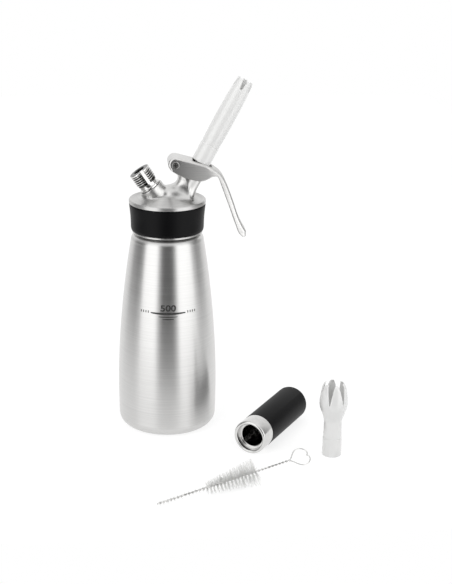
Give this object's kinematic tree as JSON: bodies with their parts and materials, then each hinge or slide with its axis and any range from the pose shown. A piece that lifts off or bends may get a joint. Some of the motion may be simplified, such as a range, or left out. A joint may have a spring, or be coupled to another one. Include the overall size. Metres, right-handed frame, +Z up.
{
  "type": "whipped cream dispenser",
  "caption": "Steel whipped cream dispenser with a squeeze lever, screw-on head, charger port and white nozzle, with its charger holder, tulip tip and cleaning brush set apart.",
  "frame": {"origin": "the centre of the bottle's flat foot, on the surface that the dispenser and its set pieces stand on", "axes": "+Z up along the bottle's axis, +X along the lever toward its handle and away from the charger port, +Y away from the lever's front cheek"},
  "size_m": [0.1895, 0.2107, 0.3062],
  "materials": {
    "brushed_steel": "brushed",
    "polished_steel": "polished",
    "black_silicone": "matte",
    "white_plastic": "satin moulded",
    "seal_rubber": "matte",
    "clear_nylon": "translucent strands"
  },
  "bodies": {
    "bottle": {"bottle_shell": "brushed_steel"},
    "gasket": {"head_gasket": "seal_rubber"},
    "head": {"head_shell": "brushed_steel", "grip_band": "black_silicone", "charger_port": "polished_steel", "port_gasket": "seal_rubber", "piercing_pin": "polished_steel", "port_seal": "seal_rubber", "check_valve": "seal_rubber", "stem_guide": "white_plastic", "guide_oring": "seal_rubber", "valve_spring": "polished_steel", "pivot_screw": "polished_steel", "pivot_nut": "polished_steel"},
    "valve": {"valve_stem": "polished_steel", "nozzle_adapter": "polished_steel", "stem_seal": "seal_rubber", "seal_retainer": "polished_steel"},
    "nozzle": {"straight_nozzle": "white_plastic", "nozzle_insert": "polished_steel"},
    "lever": {"lever": "brushed_steel"},
    "charger_holder": {"holder_body": "brushed_steel", "holder_grip": "black_silicone"},
    "tulip_tip": {"tulip_nozzle": "white_plastic", "tulip_insert": "polished_steel"},
    "brush": {"brush_wire": "polished_steel", "brush_bristles": "clear_nylon"}
  },
  "joints": [
    {"name": "head_lift", "type": "slide", "parent": "bottle", "child": "gasket", "axis": [0, 0, 1], "range_m": [0, 0.008]},
    {"name": "head_turn", "type": "hinge", "parent": "gasket", "child": "head", "pos_m": [0, 0, 0.18], "axis": [0, 0, 1], "range_deg": [0, 720]},
    {"name": "lever_pivot", "type": "hinge", "parent": "head", "child": "lever", "pos_m": [0.0063, 0, 0.2342], "axis": [0, 1, 0], "range_deg": [0, 12], "stiffness_Nm_per_rad": 1.5, "springref_deg": -8.59},
    {"name": "valve_slide", "type": "slide", "parent": "head", "child": "valve", "axis": [-0.4695, 0, -0.8829], "range_m": [0, 0.0035], "deforming": ["valve_spring"]},
    {"name": "nozzle_pull", "type": "slide", "parent": "valve", "child": "nozzle", "axis": [0.4695, 0, 0.8829], "range_m": [0, 0.02]},
    {"name": "holder_lift", "type": "slide", "parent": "bottle", "child": "charger_holder", "axis": [0, 0, 1], "range_m": [0, 0.06]},
    {"name": "tulip_lift", "type": "slide", "parent": "bottle", "child": "tulip_tip", "axis": [0, 0, 1], "range_m": [0, 0.06]},
    {"name": "brush_lift", "type": "slide", "parent": "bottle", "child": "brush", "axis": [0, 0, 1], "range_m": [0, 0.06]}
  ],
  "couplings": [
    {"joint": "head_lift", "follows": "head_turn", "m_per_rad": 0.00063661},
    {"joint": "valve_slide", "follows": "lever_pivot", "m_per_rad": 0.016}
  ]
}
